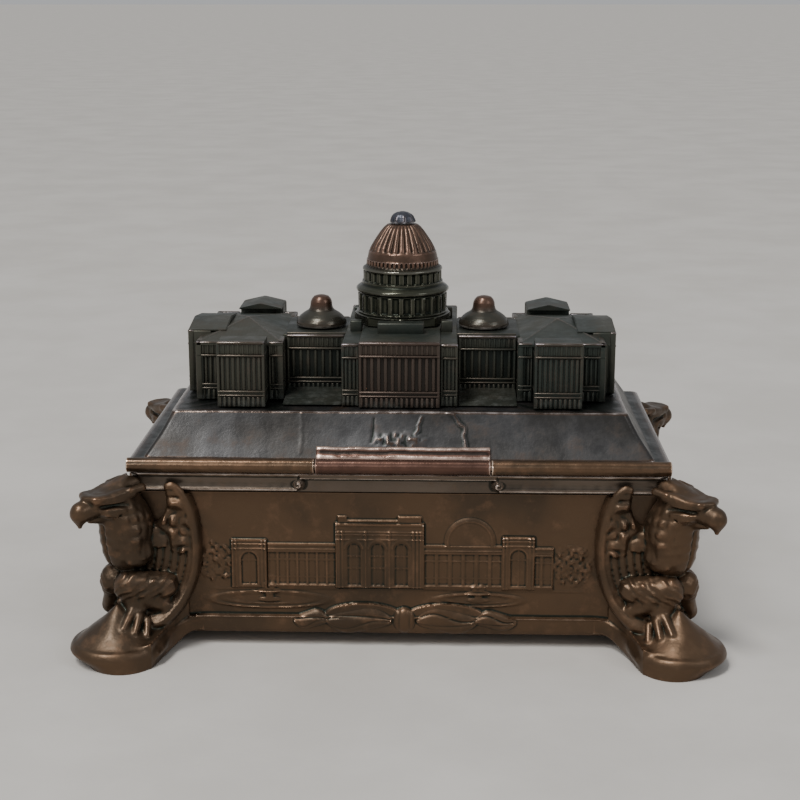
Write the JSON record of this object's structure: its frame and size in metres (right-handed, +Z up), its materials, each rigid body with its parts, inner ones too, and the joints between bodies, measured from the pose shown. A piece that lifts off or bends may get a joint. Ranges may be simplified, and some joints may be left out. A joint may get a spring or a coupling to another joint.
{
  "type": "inkwell",
  "caption": "Footed desk inkwell box with perched eagles at its corners, relief panels and a rear-hinged lid shaped as a domed building over lift-out glass wells in an inner deck.",
  "frame": {"origin": "on the table, under the middle of the object's bounding box", "axes": "+Z up; +X along the hinge, the long way; the hinge side faces -Y and the opening side faces +Y"},
  "size_m": [0.165, 0.119, 0.107],
  "materials": {
    "bronze_base": "satin",
    "bronze_lid": "satin",
    "bronze_dark": "satin",
    "copper": "satin",
    "pewter": "satin",
    "plate": "satin",
    "steel": "satin",
    "glass": "gloss"
  },
  "bodies": {
    "base": {"panel_rear": "bronze_base", "panel_front": "bronze_base", "panel_left": "bronze_base", "panel_right": "bronze_base", "corner_eagle_rear_left": "bronze_base", "corner_eagle_rear_right": "bronze_base", "corner_eagle_front_left": "bronze_base", "corner_eagle_front_right": "bronze_base", "rim_frame": "bronze_base", "hinge_knuckle_left": "bronze_base", "hinge_knuckle_right": "bronze_base", "hinge_pin": "steel", "bottom_plate": "plate", "bottom_screw_rear_left": "steel", "bottom_screw_rear_right": "steel", "bottom_screw_front_left": "steel", "bottom_screw_front_right": "steel", "inner_deck": "plate"},
    "left_well": {"glass_well_left": "glass"},
    "right_well": {"glass_well_right": "glass"},
    "lid": {"lid_shell": "bronze_lid", "lid_hinge_leaf": "copper", "building": "bronze_dark", "building_screw_left": "steel", "building_screw_right": "steel", "dome": "bronze_dark", "dome_cap": "pewter", "cupola_left": "bronze_dark", "cupola_right": "bronze_dark"}
  },
  "joints": [
    {"name": "lid_hinge", "type": "hinge", "parent": "base", "child": "lid", "pos_m": [0, -0.0405, 0.0485], "axis": [1, 0, 0], "range_deg": [0, 100]},
    {"name": "left_well_lift", "type": "slide", "parent": "base", "child": "left_well", "axis": [0, 0, 1], "range_m": [0, 0.009]},
    {"name": "right_well_lift", "type": "slide", "parent": "base", "child": "right_well", "axis": [0, 0, 1], "range_m": [0, 0.009]}
  ]
}
